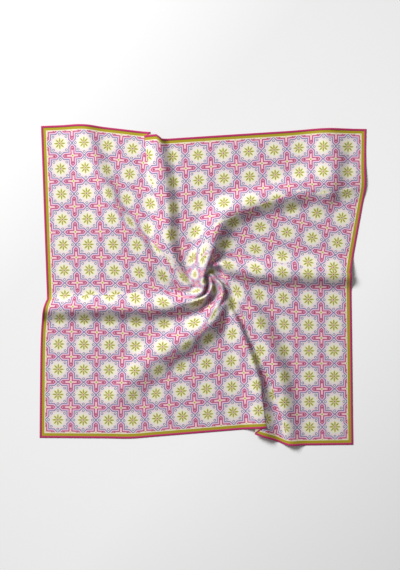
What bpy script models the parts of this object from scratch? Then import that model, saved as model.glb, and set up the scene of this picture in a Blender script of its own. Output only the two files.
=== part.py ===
"""Square cotton scarf, pinched and twisted at its middle and dropped on a table.

The scarf is one printed square of thin cotton with a rolled hem on each side. The pinch draws the
cloth in, so the cloth round it falls into eight flat panels with a tuck between each pair, and soft
ridges stand up along the tucks. The model follows that: every panel is the flat cut turned a little
and shifted towards the pinch, a tuck hides exactly the cloth that two panels would share, and the
ridges lift what lies on them. The cloth is swept ring by ring, from the pinch out to the hem.

Metres, +Z up, the underside on Z = 0, the origin under the middle of the scarf's box.
"""
from collections import namedtuple

import bpy
import numpy as np

MM = 0.001

# Driving dimensions
SIDE = 0.680               # side of the flat square, hem to hem
WALL = 1.2 * MM            # thickness of the cloth panel
HEM_WIDTH = 4.5 * MM       # width of the rolled hem
HEM_OVER = 0.9 * MM        # hem above the middle of the cloth; below it the hem is flush with the panel
SEAM = 0.4 * MM            # gap between the panel and each hem, and between hems at the corners
PINCH = (2.4 * MM, 7.2 * MM)   # where the pinch stands in the part's frame
BEND = 1.6 * MM            # radius at the middle of the cloth where a tuck turns over

# The twist at the pinch
TWIST = 170.0              # degrees at the very middle, anticlockwise
TWIST_REACH = 44 * MM      # radius by which the twist falls to a third
KNOT = 50 * MM             # radius in the flat cut inside which the cloth is wholly gathered
DRAWN = 105 * MM           # radius in the flat cut outside which it lies in panels and tucks
GATHER = 0.45              # how far the gathered middle is shrunk

# Rings and spokes of the sweep
RINGS = 20
MIDDLE_RING = 0.085        # innermost ring, as a share of the half side
BEND_STEPS = 2             # faces round each bend of a tuck
LEAST_TUCK = 6 * MM        # least cloth that the spokes of a tuck are spread over
FAR = 45.0                 # degrees round the ring past which a tuck is out of reach

HALF = 0.5 * SIDE
PANEL_EDGE = (HALF - HEM_WIDTH - SEAM) / HALF
HEM_EDGE = (HALF - HEM_WIDTH) / HALF

# The panels, clockwise from the left: degrees turned anticlockwise, millimetres that the middle of
# the flat cut is shifted, strips across the panel, and the bearing of the cut's corner if it has one.
Panel = namedtuple("Panel", "name turn x y strips corner")
PANELS = [
    Panel("left", 2.0, 25.2, -17.0, 12, 135),
    Panel("upper_left", -6.6, -26.7, -53.4, 4, None),
    Panel("upper", 3.6, 7.8, -50.0, 12, 45),
    Panel("right", -10.2, -50.1, 31.1, 6, None),
    Panel("lower_right", 0.7, -46.0, 9.0, 12, -45),
    Panel("flap", -18.0, 72.5, 61.0, 2, None),
    Panel("lower", 4.6, -18.0, 37.1, 7, None),
    Panel("lower_left", -0.4, 13.1, 24.8, 10, -135),
]

# The tucks: tuck k is clockwise of panel k. Bearings in the flat cut at the hem and at three
# quarters, half and a quarter of the way out, degrees; which neighbour lies on top; millimetres that
# its edge stands above a flat tuck at the hem, half way and near the pinch; and the width over which
# the upper panel comes down again.
Tuck = namedtuple("Tuck", "name hem outer half inner upper rise_hem rise_half rise_inner shoulder")
TUCKS = [
    Tuck("left_to_upper_left", 127.0, 130.6, 134.3, 118.4, "before", 0.0, 0.0, 0.0, 18.0),
    Tuck("upper_left_to_upper", 109.3, 111.9, 111.8, 104.0, "after", 0.0, 0.0, 0.0, 18.0),
    Tuck("upper_to_right", 33.5, 39.5, 56.0, 70.0, "after", 0.0, 0.0, 0.0, 20.0),
    Tuck("right_to_lower_right", 3.9, 6.0, 8.9, 16.5, "after", 0.0, 0.0, 0.0, 20.0),
    Tuck("lower_right_to_flap", -58.1, -55.8, -52.0, -40.0, "before", 0.0, 9.0, 6.0, 34.0),
    Tuck("flap_to_lower", -67.7, -65.3, -59.6, -55.0, "after", 0.0, 0.0, 0.0, 20.0),
    Tuck("lower_to_lower_left", -115.0, -118.2, -107.3, -92.3, "after", 0.0, 0.0, 0.0, 20.0),
    Tuck("lower_left_to_left", -174.5, -174.0, -174.0, -182.9, "before", 0.0, 0.0, 0.0, 20.0),
]

# The ridges: stations along each crest, in millimetres from the pinch. A ridge runs with its gentle
# side on the left and its steep side on the right.
Crest = namedtuple("Crest", "x y rise gentle steep")
RIDGES = {
    "upper_left": [Crest(-48, 2, 5, 16, 16), Crest(-118, 76, 6, 45, 20), Crest(-183, 167, 5, 70, 24),
                   Crest(-250, 310, 3, 60, 26)],
    "upper": [Crest(-52, 30, 5, 17, 17), Crest(-73, 102, 6, 30, 18), Crest(-84, 222, 7, 32, 16),
              Crest(-95, 290, 7, 30, 14)],
    "upper_right": [Crest(10, 60, 9, 25, 25), Crest(32, 102, 12, 32, 32), Crest(82, 140, 10, 36, 26),
                    Crest(182, 160, 8, 60, 24), Crest(264, 197, 7, 90, 26), Crest(310, 206, 2, 40, 30)],
    "corner": [Crest(264, 198, 7, 80, 26), Crest(258, 232, 6, 60, 26), Crest(226, 310, 2.5, 36, 22)],
    "right": [Crest(52, 34, 6, 20, 20), Crest(102, 12, 8, 50, 24), Crest(232, 8, 9, 60, 28),
              Crest(300, 8, 9, 60, 30)],
    "lower": [Crest(122, -290, 5, 40, 26), Crest(109, -202, 7, 44, 22), Crest(90, -112, 5, 30, 18),
              Crest(80, -80, 2, 18, 18)],
    "lower_left": [Crest(-214, -262, 0, 20, 30), Crest(-118, -182, 7, 34, 44), Crest(-58, -132, 9, 34, 44),
                   Crest(-8, -98, 10, 30, 40), Crest(32, -68, 10, 26, 30), Crest(44, -36, 7, 21, 21)],
    "left": [Crest(-330, -54, 6, 24, 28), Crest(-128, -54, 7, 24, 28), Crest(-68, -50, 8, 24, 28),
             Crest(-22, -38, 10, 24, 26), Crest(4, -18, 10, 20, 22), Crest(6, 4, 8, 18, 18)],
}
CORNER_TURN = -0.75        # the upper right corner bends back from the upper panel's own turn
CORNER_SHIFT = (-20.0, -30.6)


def eased(x):
    """0 to 1 with soft ends."""
    x = np.clip(x, 0.0, 1.0)
    return x * x * (3.0 - 2.0 * x)


def through(values, x):
    """Smooth curve that has the given values at x = 0, 1, 2 and so on."""
    values = np.asarray(values, dtype=float)
    slopes = np.gradient(values)
    x = np.clip(x, 0.0, len(values) - 1.0)
    k = np.minimum(np.asarray(x).astype(int), len(values) - 2)
    f = x - k
    start = values[k] * (1 + 2 * f) * (1 - f) ** 2 + slopes[k] * f * (1 - f) ** 2
    end = values[k + 1] * f * f * (3 - 2 * f) - slopes[k + 1] * f * f * (1 - f)
    return start + end


def turned(points, radians):
    """Points turned anticlockwise about the middle."""
    c, s = np.cos(radians), np.sin(radians)
    x, y = points[..., 0], points[..., 1]
    return np.stack([x * c - y * s, x * s + y * c], axis=-1)


def flat_point(share, bearing):
    """Point of the flat cut on a ring that is round near the pinch and square at the hem."""
    square = 1.0 / np.maximum(abs(np.cos(bearing)), abs(np.sin(bearing)))
    squareness = eased((share - 0.15) / 0.85)
    radius = share * HALF * (1 - squareness + squareness * square)
    return np.stack([radius * np.cos(bearing), radius * np.sin(bearing)], axis=-1)


def out_of_knot(radius):
    """0 in the gathered middle, 1 where the cloth lies in panels."""
    return np.clip((radius - KNOT) / (DRAWN - KNOT), 0.0, 1.0)


def shifted(flat, turn, x, y):
    return turned(flat, np.radians(turn)) + np.array([x, y]) * MM


def laid(index, flat):
    """Where a panel puts points of the flat cut; nearer the pinch it shrinks towards the pinch."""
    panel = PANELS[index % len(PANELS)]
    shrunk = np.minimum(np.hypot(flat[..., 0], flat[..., 1]) / DRAWN, 1.0)[..., None]
    flat = flat / shrunk
    place = shifted(flat, panel.turn, panel.x, panel.y)
    radius = np.hypot(flat[..., 0], flat[..., 1])
    bearing = np.degrees(np.arctan2(flat[..., 1], flat[..., 0]))
    other, bent = place, np.zeros(radius.shape)
    if panel.name == "upper":
        bent = eased((radius - 0.26) / 0.12) * eased((62 - bearing) / 16) * eased((bearing + 40) / 10)
        other = shifted(flat, CORNER_TURN, *CORNER_SHIFT)
    elif panel.name == "flap":
        # the flap opens out of the lower panel on its way to the hem
        bent = 1 - eased((radius - 0.20) / 0.10)
        lower = PANELS[(index + 1) % len(PANELS)]
        other = shifted(flat, lower.turn, lower.x, lower.y)
    return (place + (other - place) * bent[..., None]) * shrunk


def tuck_shape(hidden, fall):
    """Angle of the two bends of a tuck, and the straight run between them."""
    low, high = np.radians(4.0), np.radians(179.8)
    for _ in range(32):
        bend = (low + high) / 2
        run = max(fall - 2 * BEND * (1 - np.cos(bend)), 0.0) / np.sin(bend)
        takes = 2 * BEND * (bend - np.sin(bend)) + run * (1 - np.cos(bend))
        if takes < hidden:
            low = bend
        else:
            high = bend
    return bend, run


def along_tuck(x, bend, run):
    """Cloth hidden and height lost by x, measured along the cloth from the start of the upper bend."""
    arc = BEND * bend
    x = np.clip(x, 0.0, 2 * arc + run)
    first = np.minimum(x, arc) / BEND
    middle = np.clip(x - arc, 0.0, run)
    last = bend - np.clip(x - arc - run, 0.0, arc) / BEND
    ahead = BEND * (np.sin(first) + np.sin(bend) - np.sin(last)) + middle * np.cos(bend)
    down = BEND * (1 - np.cos(first) + np.cos(last) - np.cos(bend)) + middle * np.sin(bend)
    return x - ahead, down


def tuck_line(index, share):
    """Bearing and point where the middle of a tuck crosses a ring of the flat cut."""
    tuck = TUCKS[index]
    bearing = np.radians(through([tuck.hem, tuck.outer, tuck.half, tuck.inner], 4 * (1 - share)))
    return bearing, flat_point(share, bearing)


Section = namedtuple("Section", "tuck bearing point radius normal bend run length hidden fall start under")


def tuck_section(index, share):
    """Section of a tuck where it crosses a ring; offsets across it grow clockwise."""
    tuck = TUCKS[index]
    bearing, point = tuck_line(index, share)
    radius = np.hypot(*point)
    ahead = tuck_line(index, min(share + 0.01, 1.0))[1] - tuck_line(index, max(share - 0.01, 0.005))[1]
    normal = np.array([ahead[1], -ahead[0]]) / np.hypot(*ahead)
    turn = np.radians(PANELS[index].turn + PANELS[(index + 1) % len(PANELS)].turn) / 2
    doubled = (laid(index, point) - laid(index + 1, point)) @ turned(normal, turn)
    rise = through([tuck.rise_hem, tuck.rise_half, tuck.rise_inner], 2 * (1 - share)) * MM
    rise = 0.4 * MM + (rise + 4 * BEND) * out_of_knot(radius)
    bend, run = tuck_shape(max(doubled * out_of_knot(radius), 0.5 * rise), rise)
    length = 2 * BEND * bend + run
    hidden, fall = along_tuck(length, bend, run)
    start = -hidden / 2 if tuck.upper == "before" else hidden / 2 - length
    under = max(-run * np.cos(bend), 0.0)
    return Section(tuck, bearing, point, radius, normal, bend, run, length, hidden, fall, start, under)


def across_tuck(section, flat, bearing):
    """Share of the panel after the tuck, and lift of the upper panel by the cloth under it."""
    around = (bearing - section.bearing + np.pi) % (2 * np.pi) - np.pi
    far = np.abs(around) > np.radians(FAR)
    offset = np.where(far, -np.sign(around) * HALF, (flat - section.point) @ section.normal)
    x = offset - section.start
    if section.tuck.upper == "after":
        x = section.length - x
    hidden, down = along_tuck(x, section.bend, section.run)
    share = hidden / section.hidden
    if section.tuck.upper == "after":
        share = 1 - share
    # the upper panel comes down only behind the cloth that is tucked under it
    behind = np.minimum(x + section.under + BEND, 0.0)
    lift = (section.fall - down) * eased(1 + behind / (section.tuck.shoulder * MM))
    return share, lift


def ridge_height(stations, place):
    """Height of one ridge over points of the table."""
    table = np.array(stations, dtype=float) * MM
    steps = np.linspace(0, len(table) - 1, 5 * (len(table) - 1) + 1)
    rows = np.stack([through(table[:, column], steps) for column in range(table.shape[1])], axis=-1)
    nearest = np.full(place.shape[:-1], np.inf)
    height = np.zeros(place.shape[:-1])
    for start, end in zip(rows[:-1], rows[1:]):
        step = end[:2] - start[:2]
        reach = place - start[:2]
        part = np.clip(reach @ step / (step @ step), 0.0, 1.0)
        row = start + part[..., None] * (end - start)
        distance = np.hypot(*np.moveaxis(place - row[..., :2], -1, 0))
        gentle_side = step[0] * reach[..., 1] > step[1] * reach[..., 0]
        width = np.where(gentle_side, row[..., 3], row[..., 4])
        closer = distance < nearest
        height = np.where(closer, row[..., 2] * (1 - eased(distance / width)), height)
        nearest = np.where(closer, distance, nearest)
    return np.maximum(height, 0.0)


def ground(place):
    """Height of the ridges together, which run into each other without a kink."""
    heights = np.stack([ridge_height(stations, place) for stations in RIDGES.values()])
    return np.sum(heights ** 3, axis=0) ** (1 / 3)


def middle_of_cloth(share, bearing):
    """Middle of the cloth's thickness, at bearings round one ring of the flat cut."""
    flat = flat_point(share, bearing)
    sections = [tuck_section(index, share) for index in range(len(TUCKS))]
    first = (sections[-1].bearing + sections[0].bearing) / 2 + np.pi
    clockwise = (first - bearing) % (2 * np.pi)
    place = laid(0, flat)
    lift = np.zeros(flat.shape[:-1])
    for index, section in enumerate(sections):
        passed, raised = across_tuck(section, flat, bearing)
        crossing = (first - section.bearing) % (2 * np.pi)
        apart = np.abs(clockwise - crossing) > np.radians(FAR)
        passed = np.where(apart, clockwise > crossing, passed)
        place = place + passed[..., None] * (laid(index + 1, flat) - place)
        lift = lift + np.where(apart, 0.0, raised)
    radius = np.hypot(flat[..., 0], flat[..., 1])
    gathered = GATHER * flat
    place = gathered + out_of_knot(radius)[..., None] * (place - gathered)
    out = np.hypot(place[..., 0], place[..., 1])
    place = turned(place, np.radians(TWIST) * np.exp(-out / TWIST_REACH))
    height = WALL / 2 + ground(place) + lift
    return np.concatenate([place + np.array(PINCH), height[..., None]], axis=-1)


def bearings_across(section, share, offsets):
    """Bearings of the ring's points that lie at the given offsets across a tuck."""
    bearing = section.bearing - offsets / section.radius
    for _ in range(8):
        reached = (flat_point(share, bearing) - section.point) @ section.normal
        bearing = bearing - (offsets - reached) / section.radius
    return bearing


def tuck_bearings(share):
    """Bearings of the spokes in every tuck, from one panel's edge to the next one's."""
    tucks = []
    for index in range(len(TUCKS)):
        section = tuck_section(index, share)
        arc = BEND * section.bend
        bend = np.linspace(0.0, arc, BEND_STEPS + 1)
        along = np.concatenate([bend, arc + section.run + bend]) - section.length / 2
        along = along * max(1.0, LEAST_TUCK / section.length)
        tucks.append(bearings_across(section, share, section.start + section.length / 2 + along))
    return tucks


def landing_bearings(index, share):
    """Bearings between which the upper panel of a tuck comes down, behind the cloth under it."""
    section = tuck_section(index, share)
    reach = section.under + BEND + np.array([0.0, section.tuck.shoulder * MM])
    if section.tuck.upper == "before":
        return bearings_across(section, share, section.start - reach)
    return bearings_across(section, share, section.start + section.length + reach)


def side_parts(width, strips, landing):
    """Places of the spokes from a tuck at 0 to the given width."""
    if landing is None:
        return width * (1 - np.cos(np.pi / 2 * np.arange(1, strips + 1) / strips))
    landing = np.minimum(landing, [0.4 * width, 0.7 * width])
    rest = landing[1] + (width - landing[1]) * np.arange(1, strips - 1) / (strips - 2)
    return np.concatenate([landing, rest])


def panel_parts(index, share, tucks):
    """Places of a panel's spokes between its tucks, from 0 to 1, one of them at the cut's corner."""
    panel = PANELS[index]
    start, end = tucks[index - 1][-1], tucks[index][0]
    width = (start - end) % (2 * np.pi)
    split = 0.5
    if panel.corner is not None:
        hem = tuck_bearings(max(share, PANEL_EDGE))
        first, last = hem[index - 1][-1], hem[index][0]
        split = ((first - np.radians(panel.corner)) % (2 * np.pi)) / ((first - last) % (2 * np.pi))
    strips = max(3, round(panel.strips * split))
    landings = [None, None]
    if TUCKS[index - 1].upper == "after":
        landings[0] = ((start - landing_bearings((index - 1) % len(TUCKS), share)) % (2 * np.pi)) / width
    if TUCKS[index].upper == "before":
        landings[1] = ((landing_bearings(index, share) - end) % (2 * np.pi)) / width
    first = side_parts(split, strips, landings[0])
    second = 1 - side_parts(1 - split, max(3, panel.strips - strips), landings[1])
    return np.concatenate([first, second[-2::-1]])


def spoke_bearings(share):
    """Bearings of the spokes on a ring, clockwise: close together in each tuck and beside it."""
    tucks = tuck_bearings(share)
    spokes = []
    for index, tuck in enumerate(tucks):
        beyond = (index + 1) % len(PANELS)
        width = (tuck[-1] - tucks[beyond][0]) % (2 * np.pi)
        spokes += [tuck, tuck[-1] - panel_parts(beyond, share, tucks) * width]
    spokes = np.concatenate(spokes)
    # in the gathered middle the spokes spread evenly
    even = 2 * np.pi * (np.arange(len(spokes)) + 0.5) / len(spokes)
    even = spokes[0] + (spokes - spokes[0]).mean() + np.pi - even
    return even + eased(share * HALF / KNOT - 0.4) * (spokes - even)


def finish(name, colour, roughness):
    """Material of one kind of cloth."""
    material = bpy.data.materials.new(name)
    material.use_nodes = True
    shader = material.node_tree.nodes["Principled BSDF"]
    shader.inputs["Base Color"].default_value = (*colour, 1.0)
    shader.inputs["Roughness"].default_value = roughness
    shader.inputs["Metallic"].default_value = 0.0
    return material


def add_object(name, points, faces, material, collection):
    mesh = bpy.data.meshes.new(name)
    mesh.from_pydata([tuple(point) for point in points], [], faces)
    mesh.update()
    mesh.materials.append(material)
    built = bpy.data.objects.new(name, mesh)
    collection.objects.link(built)
    return built


def thicken(sheet, thickness, offset):
    """Gives an open sheet its thickness; the offset says how much of it lies above the sheet."""
    wall = sheet.modifiers.new("wall", "SOLIDIFY")
    wall.thickness = thickness
    wall.offset = offset
    wall.use_quality_normals = True
    # twisted faces on the two sides of a seam split along the same diagonal
    facets = sheet.modifiers.new("facets", "TRIANGULATE")
    facets.quad_method = "SHORTEST_DIAGONAL"


def build_panel(material, collection):
    """The printed square, an open sheet swept out from the pinch and given its thickness."""
    steps = np.linspace(0.0, 1.0, RINGS - 1) ** 1.5
    last_but_one = PANEL_EDGE - HEM_WIDTH / HALF
    shares = np.append(MIDDLE_RING + (last_but_one - MIDDLE_RING) * steps, PANEL_EDGE)
    rings = [middle_of_cloth(share, spoke_bearings(share)) for share in shares]
    count = len(rings[0])
    points = np.concatenate(rings + [rings[0].mean(axis=0)[None]])
    faces = []
    for ring in range(RINGS - 1):
        for spoke in range(count):
            near = ring * count + spoke
            beside = ring * count + (spoke + 1) % count
            faces.append((near, beside, beside + count, near + count))
    middle = len(points) - 1
    faces += [(middle, (spoke + 1) % count, spoke) for spoke in range(count)]
    panel = add_object("scarf_panel", points, faces, material, collection)
    thicken(panel, WALL, 0.0)


def build_hem(name, start, material, collection):
    """One side's rolled hem: a flat band that follows the panel's edge from mitre to mitre."""
    mitre = SEAM / 2 / (HALF * HEM_EDGE * 2 ** 0.5)
    edges = []
    for share in (HEM_EDGE, 1.0):
        turns = (np.radians(start) - spoke_bearings(share)) % (2 * np.pi)
        inside = np.sort(turns[(turns > 3 * mitre) & (turns < np.pi / 2 - 3 * mitre)])
        turns = np.concatenate([[mitre], inside, [np.pi / 2 - mitre]])
        edges.append(middle_of_cloth(share, np.radians(start) - turns))
    count = len(edges[0])
    faces = [(spoke, spoke + 1, count + spoke + 1, count + spoke) for spoke in range(count - 1)]
    hem = add_object(name, np.concatenate(edges), faces, material, collection)
    thicken(hem, HEM_OVER + WALL / 2, (HEM_OVER - WALL / 2) / (HEM_OVER + WALL / 2))


def main():
    for old in list(bpy.data.objects):
        bpy.data.objects.remove(old)
    scarf = bpy.data.collections.new("cotton_scarf")
    bpy.context.scene.collection.children.link(scarf)
    print_cotton = finish("printed cotton", (0.66, 0.49, 0.47), 0.85)
    hem_cotton = finish("magenta hem cotton", (0.52, 0.03, 0.14), 0.8)
    build_panel(print_cotton, scarf)
    for name, start in [("hem_top", 135), ("hem_right", 45), ("hem_bottom", -45), ("hem_left", -135)]:
        build_hem(name, start, hem_cotton, scarf)


main()
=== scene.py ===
"""Square cotton scarf, pinched and twisted at its middle and dropped on a table: its looks.

The sections follow the scarf as it is made: the printed square with its folds, then the print, the
rolled hems, their stitches, and last the table, the lamp and the camera. Metres, +Z up, in the frame
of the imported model.
"""

from collections import namedtuple

import bpy
import numpy as np
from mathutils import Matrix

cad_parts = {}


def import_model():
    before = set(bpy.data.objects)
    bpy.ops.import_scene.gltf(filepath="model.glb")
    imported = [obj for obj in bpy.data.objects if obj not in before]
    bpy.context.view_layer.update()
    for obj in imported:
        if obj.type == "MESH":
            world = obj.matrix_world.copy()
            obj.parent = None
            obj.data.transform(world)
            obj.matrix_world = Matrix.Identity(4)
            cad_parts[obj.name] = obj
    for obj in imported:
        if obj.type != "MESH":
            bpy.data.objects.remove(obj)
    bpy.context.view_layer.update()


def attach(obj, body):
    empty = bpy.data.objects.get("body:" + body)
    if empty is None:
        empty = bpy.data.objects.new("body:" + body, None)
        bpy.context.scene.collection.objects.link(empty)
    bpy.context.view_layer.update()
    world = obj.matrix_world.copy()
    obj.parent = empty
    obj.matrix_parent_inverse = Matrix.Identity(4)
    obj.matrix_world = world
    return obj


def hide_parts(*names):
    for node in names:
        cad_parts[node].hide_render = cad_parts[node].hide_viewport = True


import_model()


# --------------------------------------------------------------------------------------------------
# The square
#
# One square of fine cotton lawn, cut straight along its threads. It was picked up by a point near
# its middle, twisted a quarter turn and let down, so flat panels lie between tucks that all run to the
# pinch, and soft ridges stand up along the tucks. Panels, tucks and ridges are listed here.
# --------------------------------------------------------------------------------------------------
MM = 0.001
SIDE = 0.680                    # side of the flat square
HALF = SIDE / 2
CLOTH = 0.25 * MM               # thickness of the lawn
HEM = 4.0 * MM                  # width of the rolled hem
PINCH = np.array([2.4, 7.2]) * MM   # where the pinch stands in the frame
BEND = 0.3 * MM                 # radius at which a tuck turns over
TWIST = 90.0                    # degrees at the very middle, anticlockwise
TWIST_REACH = 44 * MM           # radius by which the twist falls to a third
KNOT = 40 * MM                  # inside this radius of the cut the cloth is wholly gathered
DRAWN = 100 * MM                # outside this one it lies in panels and tucks
GATHER = 0.45                   # how far the gathered middle is drawn in
FAR = 45.0                      # degrees round a ring past which a tuck is out of reach

# Clockwise from the left: degrees that a panel is turned anticlockwise, millimetres that the middle
# of the cut is shifted in it, spokes across it, and the bearing of the cut's corner if it has one.
Panel = namedtuple("Panel", "name turn x y spokes corner")
PANELS = [
    Panel("left", 2.0, 25.2, -17.0, 52, 135),
    Panel("upper_left", -6.6, -26.7, -53.4, 16, None),
    Panel("upper", 3.6, 7.8, -50.0, 50, 45),
    Panel("right", -10.2, -50.1, 31.1, 34, None),
    Panel("lower_right", 0.7, -46.0, 9.0, 46, -45),
    Panel("flap", -18.0, 72.5, 61.0, 10, None),
    Panel("lower", 4.6, -18.0, 37.1, 34, None),
    Panel("lower_left", -0.4, 13.1, 24.8, 42, -135),
]

# Tuck k is clockwise of panel k: bearings in the cut at the hem and at three quarters, half and a
# quarter of the way out; which neighbour lies on top, or neither where the cloth only bunches up;
# millimetres that the folded edge stands above a flat tuck at the hem, half way and near the pinch;
# the width in which the upper panel comes down, and the width in which the cloth bunches up.
Tuck = namedtuple("Tuck", "name hem outer half inner upper rise_hem rise_half rise_inner shoulder soft")
TUCKS = [
    Tuck("left_to_upper_left", 127.0, 130.6, 134.3, 118.4, "neither", 0.0, 0.0, 0.0, 18.0, 80.0),
    Tuck("upper_left_to_upper", 109.3, 111.9, 111.8, 104.0, "after", 0.0, 0.0, 0.0, 18.0, 60.0),
    Tuck("upper_to_right", 33.5, 39.5, 58.0, 75.0, "after", 0.0, 0.0, 0.0, 20.0, 70.0),
    Tuck("right_to_lower_right", 3.9, 6.0, 8.9, 16.5, "after", 0.0, 0.0, 0.0, 20.0, 60.0),
    Tuck("lower_right_to_flap", -58.1, -55.8, -52.0, -40.0, "before", 0.0, 4.0, 3.0, 26.0, 50.0),
    Tuck("flap_to_lower", -67.7, -65.3, -59.6, -55.0, "after", 0.0, 0.0, 0.0, 20.0, 50.0),
    Tuck("lower_to_lower_left", -115.0, -118.2, -107.3, -92.3, "neither", 0.0, 0.0, 0.0, 20.0, 90.0),
    Tuck("lower_left_to_left", -174.5, -174.0, -174.0, -182.9, "before", 0.0, 0.0, 0.0, 20.0, 60.0),
]

# Stations along each ridge's crest: where it runs, in millimetres from the pinch, how high it stands
# and how far it reaches to either side. Its gentle side is on the left and its steep one on the right.
Crest = namedtuple("Crest", "x y rise gentle steep")
RIDGES = {
    "upper_left": [Crest(-16, -24, 7, 10, 8), Crest(-44, -8, 9, 16, 11), Crest(-82, 22, 10, 26, 18),
                   Crest(-106, 42, 11, 36, 24), Crest(-136, 86, 12, 50, 27), Crest(-172, 130, 13, 56, 30),
                   Crest(-206, 204, 13, 60, 33), Crest(-232, 282, 10, 60, 34), Crest(-240, 340, 7, 60, 36)],
    "upper": [Crest(-30, -8, 6, 14, 10), Crest(-46, 18, 11, 24, 14), Crest(-62, 48, 16, 34, 20),
              Crest(-72, 86, 18, 40, 24), Crest(-73, 142, 18, 44, 25), Crest(-82, 212, 18, 44, 25),
              Crest(-88, 262, 17, 40, 20), Crest(-92, 300, 15, 36, 14), Crest(-94, 330, 14, 34, 14)],
    "upper_right": [Crest(-20, -32, 16, 20, 8), Crest(-4, -22, 21, 26, 6), Crest(0, -6, 24, 30, 6),
                    Crest(-2, 8, 24, 34, 6), Crest(2, 22, 24, 38, 9), Crest(8, 44, 24, 42, 20),
                    Crest(16, 68, 24, 44, 28), Crest(20, 92, 23, 46, 34), Crest(42, 130, 22, 46, 36),
                    Crest(74, 146, 20, 42, 34), Crest(114, 160, 18, 40, 32), Crest(162, 170, 16, 44, 33),
                    Crest(206, 180, 14, 60, 36), Crest(250, 190, 12, 80, 40), Crest(290, 196, 6, 70, 42),
                    Crest(330, 200, 2, 60, 40)],
    "corner": [Crest(250, 186, 13, 80, 38), Crest(258, 215, 16, 70, 40), Crest(254, 262, 14, 60, 40),
               Crest(248, 315, 10, 50, 38), Crest(244, 345, 7, 44, 36)],
    "right": [Crest(20, 32, 14, 10, 12), Crest(36, 34, 14, 12, 18), Crest(60, 26, 15, 20, 24),
              Crest(90, 18, 16, 32, 27), Crest(140, 14, 16, 44, 30), Crest(232, 12, 15, 48, 30),
              Crest(290, 10, 11, 44, 25), Crest(340, 10, 5, 36, 22)],
    "lower": [Crest(126, -340, 11, 44, 26), Crest(121, -292, 14, 44, 23), Crest(115, -238, 18, 42, 15),
              Crest(105, -182, 20, 40, 9), Crest(86, -128, 18, 38, 7), Crest(66, -80, 13, 30, 8),
              Crest(50, -52, 8, 20, 8)],
    "lower_right": [Crest(176, -340, 10, 24, 30), Crest(166, -290, 8, 18, 30), Crest(154, -220, 11, 20, 32),
                    Crest(144, -170, 12, 28, 34), Crest(127, -118, 12, 30, 34), Crest(104, -68, 10, 30, 32),
                    Crest(72, -38, 6, 20, 26)],
    "lower_left": [Crest(-190, -244, 2, 30, 40), Crest(-160, -214, 6, 40, 46), Crest(-118, -168, 12, 46, 46),
                   Crest(-68, -134, 17, 46, 44), Crest(-24, -108, 20, 44, 40), Crest(12, -82, 21, 38, 34),
                   Crest(36, -48, 18, 26, 26)],
    "left": [Crest(-345, -56, 12, 30, 26), Crest(-300, -55, 14, 31, 28), Crest(-228, -54, 16, 33, 29),
             Crest(-128, -54, 18, 34, 29), Crest(-68, -50, 19, 32, 28), Crest(-22, -40, 19, 24, 26)],
    "inner_tongue": [Crest(-46, -42, 15, 16, 12), Crest(-24, -41, 17, 14, 7), Crest(-6, -36, 19, 12, 5),
                     Crest(8, -26, 20, 12, 5), Crest(15, -10, 20, 12, 5), Crest(13, 4, 18, 10, 5),
                     Crest(8, 11, 12, 8, 5)],
    "outer_tongue": [Crest(10, -66, 16, 22, 22), Crest(28, -46, 18, 20, 11), Crest(38, -26, 19, 20, 5),
                     Crest(36, -10, 19, 20, 5), Crest(27, 2, 18, 16, 5), Crest(13, 14, 13, 9, 5)],
}


def eased(x):
    """0 to 1 with soft ends."""
    x = np.clip(x, 0.0, 1.0)
    return x * x * (3.0 - 2.0 * x)


def through(values, x):
    """Smooth curve that has the given values at x = 0, 1, 2 and so on."""
    values = np.asarray(values, dtype=float)
    slopes = np.gradient(values)
    x = np.clip(x, 0.0, len(values) - 1.0)
    k = np.minimum(np.asarray(x).astype(int), len(values) - 2)
    f = x - k
    start = values[k] * (1 + 2 * f) * (1 - f) ** 2 + slopes[k] * f * (1 - f) ** 2
    end = values[k + 1] * f * f * (3 - 2 * f) - slopes[k + 1] * f * f * (1 - f)
    return start + end


def turned(points, radians):
    """Points turned anticlockwise about the middle."""
    c, s = np.cos(radians), np.sin(radians)
    x, y = points[..., 0], points[..., 1]
    return np.stack([x * c - y * s, x * s + y * c], axis=-1)


ROUND_TO = 0.15                 # share of the half side up to which the rings are round


def flat_point(share, bearing):
    """Point of the cut on a ring that is round near the pinch and square at the hem."""
    square = 1.0 / np.maximum(abs(np.cos(bearing)), abs(np.sin(bearing)))
    squareness = eased((share - ROUND_TO) / (1 - ROUND_TO))
    radius = share * HALF * (1 - squareness + squareness * square)
    return np.stack([radius * np.cos(bearing), radius * np.sin(bearing)], axis=-1)


def out_of_knot(radius):
    """0 in the gathered middle, 1 where the cloth lies in panels."""
    return eased((radius - KNOT) / (DRAWN - KNOT))


# Where a panel leaves its own place: a start and the width in which the change comes about.
Onset = namedtuple("Onset", "start width")
STEP = Onset(-73 * MM, 6 * MM)          # across the upper panel, at the tuck on its left
STEP_HEM = Onset(260 * MM, 80 * MM)     # out towards its hem
STEP_DRAWN = (0, 9)                     # millimetres that the hem is drawn up there
CORNER_OUT = Onset(260 * MM, 120 * MM)  # out from the middle to the upper panel's right corner
CORNER_LEFT = Onset(62, 16)             # bearings on its two sides, degrees
CORNER_RIGHT = Onset(-40, 10)
CORNER = Panel("corner", -0.75, -20.0, -30.6, None, None)
CLIMB = Onset(-61 * MM, 28 * MM)        # down the left hem from where it climbs to the fold
CLIMB_HEM = Onset(-220 * MM, 120 * MM)  # out towards that hem
CLIMB_DRAWN = (14, 0)                   # millimetres that the hem is drawn in there
FLAP_OUT = Onset(200 * MM, 100 * MM)    # out from the middle to where the flap has opened


def placed(panel, flat):
    """Points of the cut turned and shifted as a panel is."""
    return turned(flat, np.radians(panel.turn)) + np.array([panel.x, panel.y]) * MM


def past(onset, x):
    """0 before an onset, 1 beyond its width."""
    return eased((x - onset.start) / onset.width)


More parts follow.
